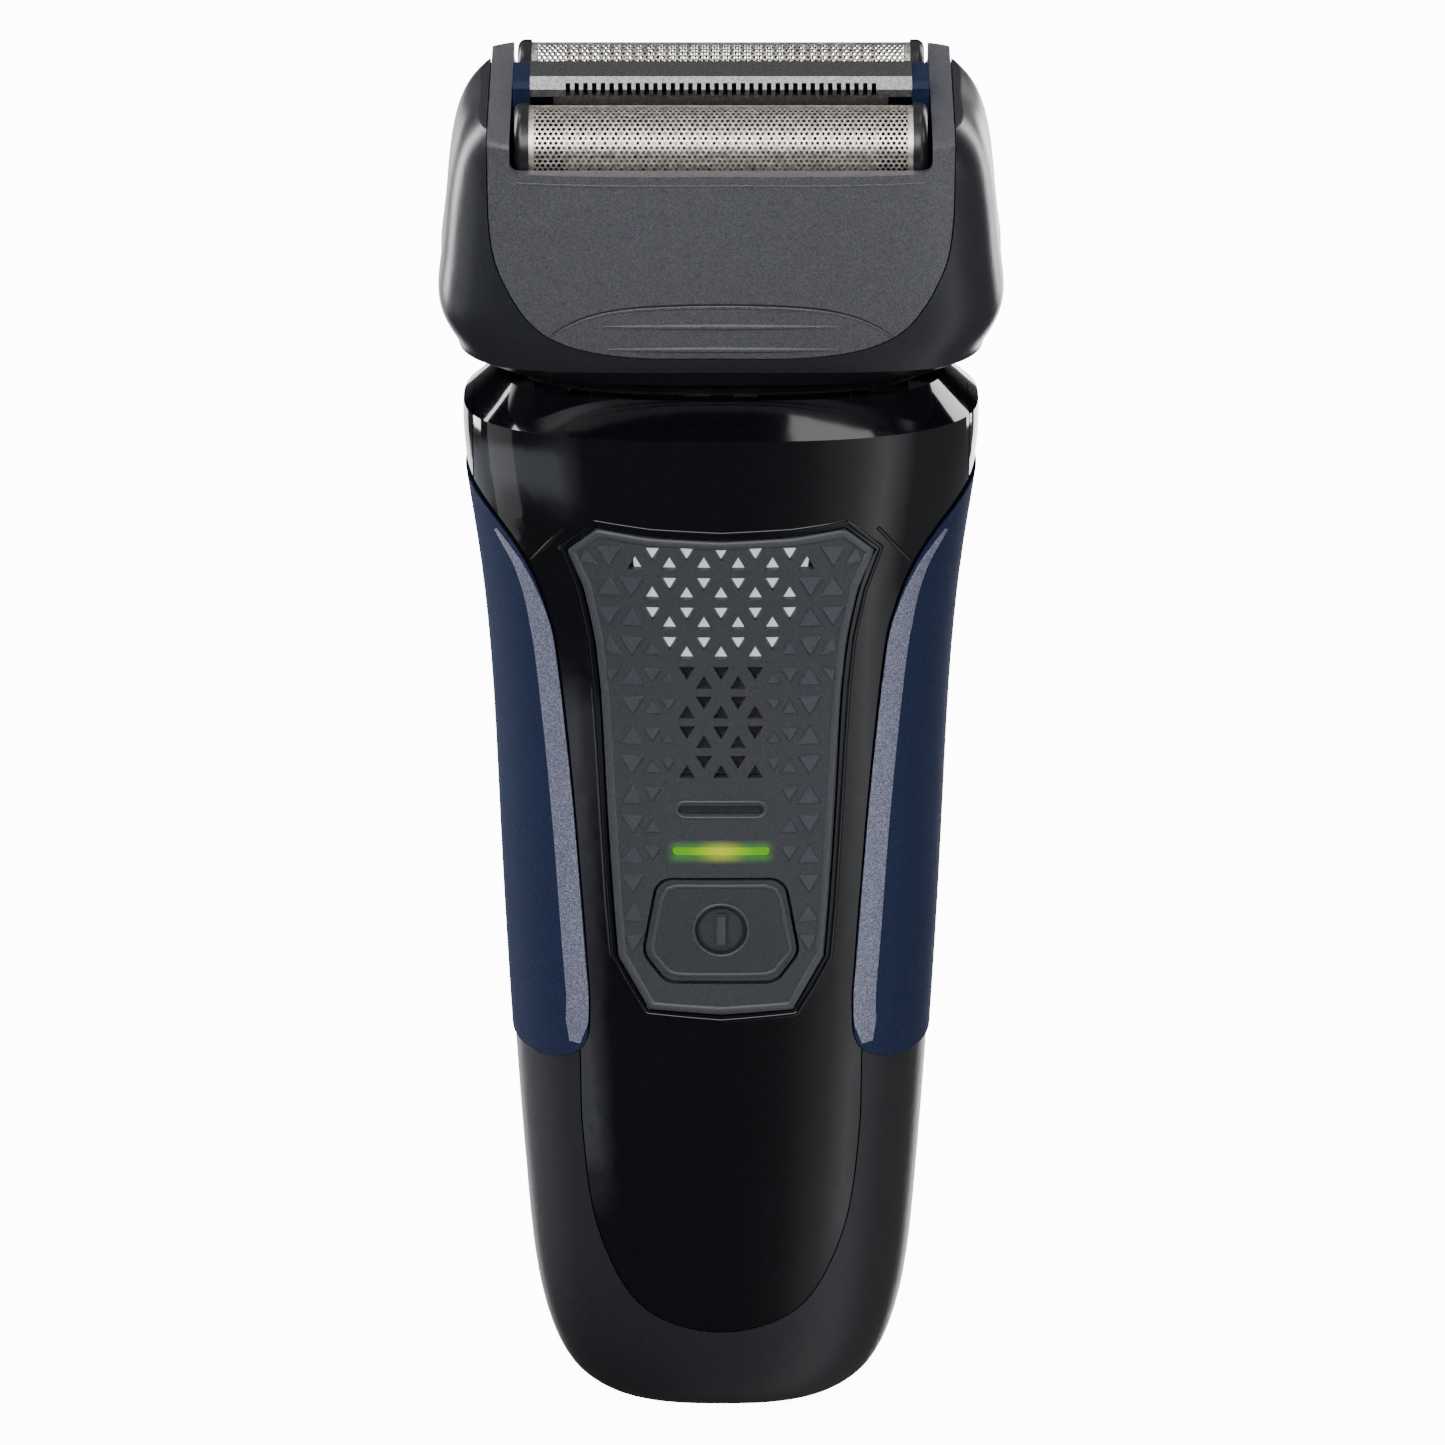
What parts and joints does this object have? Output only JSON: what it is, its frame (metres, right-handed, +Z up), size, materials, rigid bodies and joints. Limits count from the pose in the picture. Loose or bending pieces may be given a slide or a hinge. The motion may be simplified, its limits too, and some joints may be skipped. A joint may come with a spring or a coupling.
{
  "type": "foil shaver",
  "caption": "Upright foil shaver with floating foils and a slotted trimmer on a pivoting head, lit front pad, soft side grips, power button and rear pop-up trimmer.",
  "frame": {"origin": "centre of the flat base, under the handle", "axes": "+Z up along the handle to the foils, -Y out of the front with the display and the power button, +X to the right seen from the front"},
  "size_m": [0.0634, 0.0384, 0.1613],
  "materials": {
    "gloss_shell": "polished black",
    "satin_shell": "satin dark grey",
    "grip_rubber": "soft navy, fine grain",
    "pad_rubber": "soft charcoal",
    "display_white": "translucent white",
    "lens_green": "lit yellow-green",
    "lens_dark": "unlit smoked",
    "button_black": "satin black",
    "trimmer_black": "satin black",
    "inner_plastic": "moulded grey",
    "drive_plastic": "slippery ivory",
    "seal_rubber": "moulded black",
    "pin_steel": "ground",
    "contact_brass": "plated",
    "socket_plastic": "moulded black",
    "motor_steel": "plated can",
    "battery_wrap": "shrink wrap",
    "board_green": "solder mask",
    "lamp_white": "clear",
    "head_satin": "satin charcoal, fine speckle",
    "foil_steel": "bright foil",
    "foil_frame_plastic": "satin",
    "guard_steel": "stamped",
    "bracket_blue": "moulded blue",
    "cutter_steel": "ground blades"
  },
  "bodies": {
    "handle": {"rear_shell": "satin_shell", "front_shell": "gloss_shell", "collar": "gloss_shell", "left_grip": "grip_rubber", "right_grip": "grip_rubber", "texture_pad": "pad_rubber", "display_lightguide": "display_white", "charge_lens": "lens_green", "signal_lens": "lens_dark", "neck_plate": "inner_plastic", "pivot_pins": "pin_steel", "neck_seal": "seal_rubber", "chassis": "inner_plastic", "case_screws": "pin_steel", "battery_cell": "battery_wrap", "battery_tabs": "pin_steel", "motor_can": "motor_steel", "motor_endbell": "socket_plastic", "bridge_guides": "inner_plastic", "main_board": "board_green", "tact_switch": "socket_plastic", "board_lamps": "lamp_white", "board_components": "socket_plastic", "charging_socket": "socket_plastic", "socket_pins": "contact_brass", "trimmer_hinge_pin": "pin_steel"},
    "rotor": {"motor_shaft": "pin_steel", "eccentric": "drive_plastic"},
    "drive": {"drive_bridge": "drive_plastic"},
    "button": {"power_button": "button_black"},
    "switch": {"trimmer_switch": "trimmer_black"},
    "pop_up_trimmer": {"trimmer_arm": "trimmer_black", "trimmer_comb": "guard_steel"},
    "moving_blade": {"trimmer_blade": "cutter_steel"},
    "head": {"head_housing": "head_satin", "head_chassis": "inner_plastic"},
    "cassette": {"foil_cassette": "head_satin"},
    "front_foil_unit": {"front_foil": "foil_steel", "front_foil_frame": "foil_frame_plastic"},
    "rear_foil_unit": {"rear_foil": "foil_steel", "rear_foil_frame": "foil_frame_plastic"},
    "guard_unit": {"trimmer_guard": "guard_steel", "guard_brackets": "bracket_blue"},
    "carriage": {"cutter_carriage": "drive_plastic", "front_cutter_spring": "pin_steel", "middle_cutter_spring": "pin_steel", "rear_cutter_spring": "pin_steel"},
    "front_cutter_unit": {"front_cutter": "cutter_steel"},
    "rear_cutter_unit": {"rear_cutter": "cutter_steel"},
    "middle_cutter_unit": {"guard_cutter": "cutter_steel"}
  },
  "joints": [
    {"name": "motor_spin", "type": "hinge", "parent": "handle", "child": "rotor", "pos_m": [0, 0.001, 0.1], "axis": [0, 0, 1], "continuous": true},
    {"name": "drive_swing", "type": "slide", "parent": "handle", "child": "drive", "axis": [1, 0, 0], "range_m": [-0.0011, 0.0011]},
    {"name": "power_press", "type": "slide", "parent": "handle", "child": "button", "axis": [0, 1, 0], "range_m": [0, 0.0006], "stiffness_N_per_m": 900, "springref_m": -0.0005},
    {"name": "trimmer_slide", "type": "slide", "parent": "handle", "child": "switch", "axis": [0, 0, 1], "range_m": [0, 0.006]},
    {"name": "trimmer_swing", "type": "hinge", "parent": "handle", "child": "pop_up_trimmer", "pos_m": [0, 0.0156, 0.1006], "axis": [-1, 0, 0], "range_deg": [0, 45]},
    {"name": "trimmer_cut", "type": "slide", "parent": "pop_up_trimmer", "child": "moving_blade", "axis": [1, 0, 0], "range_m": [-0.0007, 0.0007]},
    {"name": "head_pivot", "type": "hinge", "parent": "handle", "child": "head", "pos_m": [0, 0.0005, 0.1278], "axis": [1, 0, 0], "range_deg": [-22, 2], "stiffness_Nm_per_rad": 0.25},
    {"name": "cassette_lift", "type": "slide", "parent": "head", "child": "cassette", "axis": [0, -0.1908, 0.9816], "range_m": [0, 0.02]},
    {"name": "front_foil_float", "type": "slide", "parent": "cassette", "child": "front_foil_unit", "axis": [0, -0.1908, 0.9816], "range_m": [-0.0015, 0], "stiffness_N_per_m": 400, "springref_m": 0.001},
    {"name": "rear_foil_float", "type": "slide", "parent": "cassette", "child": "rear_foil_unit", "axis": [0, -0.1908, 0.9816], "range_m": [-0.0015, 0], "stiffness_N_per_m": 400, "springref_m": 0.001},
    {"name": "guard_float", "type": "slide", "parent": "cassette", "child": "guard_unit", "axis": [0, -0.1908, 0.9816], "range_m": [-0.0012, 0], "stiffness_N_per_m": 400, "springref_m": 0.001},
    {"name": "carriage_swing", "type": "slide", "parent": "head", "child": "carriage", "axis": [1, 0, 0], "range_m": [-0.0011, 0.0011]},
    {"name": "front_cutter_float", "type": "slide", "parent": "carriage", "child": "front_cutter_unit", "axis": [0, -0.1908, 0.9816], "range_m": [-0.0015, 0], "deforming": ["front_cutter_spring"]},
    {"name": "rear_cutter_float", "type": "slide", "parent": "carriage", "child": "rear_cutter_unit", "axis": [0, -0.1908, 0.9816], "range_m": [-0.0015, 0], "deforming": ["rear_cutter_spring"]},
    {"name": "middle_cutter_float", "type": "slide", "parent": "carriage", "child": "middle_cutter_unit", "axis": [0, -0.1908, 0.9816], "range_m": [-0.0012, 0], "deforming": ["middle_cutter_spring"]}
  ],
  "couplings": [
    {"joint": "carriage_swing", "follows": "drive_swing", "ratio": 1},
    {"joint": "trimmer_cut", "follows": "drive_swing", "ratio": 0.6},
    {"joint": "trimmer_swing", "follows": "trimmer_slide", "rad_per_m": 130.8},
    {"joint": "front_cutter_float", "follows": "front_foil_float", "ratio": 1},
    {"joint": "rear_cutter_float", "follows": "rear_foil_float", "ratio": 1},
    {"joint": "middle_cutter_float", "follows": "guard_float", "ratio": 1}
  ]
}
